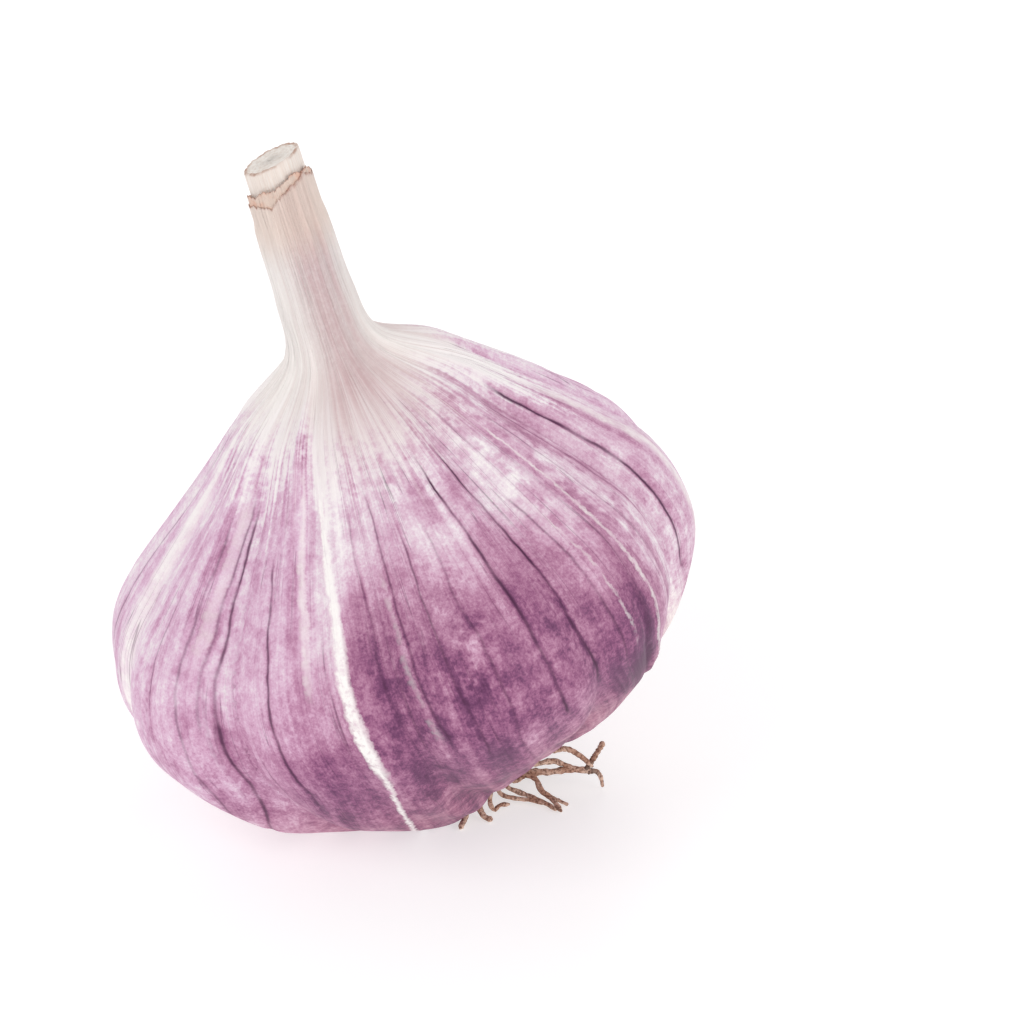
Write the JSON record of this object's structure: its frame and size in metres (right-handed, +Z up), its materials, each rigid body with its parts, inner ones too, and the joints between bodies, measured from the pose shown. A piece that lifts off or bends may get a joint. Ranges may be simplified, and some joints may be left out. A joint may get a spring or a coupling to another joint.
{
  "type": "garlic bulb",
  "caption": "Whole garlic bulb with purple-striped papery skin over swelling cloves, a cut hard neck and a tuft of dried roots, resting a little over on its side.",
  "frame": {"origin": "middle of the small flat spot under the front lobes, on the surface that the bulb rests on", "axes": "+Z up; the neck leans towards -X and the roots reach towards +X"},
  "size_m": [0.0573, 0.059, 0.068],
  "materials": {
    "skin": "satin dry papery skin, purple mottled and streaked over cream, ivory at the neck",
    "stalk": "matte dry cut stalk, cream white with a brownish rim",
    "roots": "matte dried roots, tan brown"
  },
  "bodies": {
    "root": {"bulb": "skin", "scape": "stalk", "root_crown": "roots"}
  },
  "joints": []
}
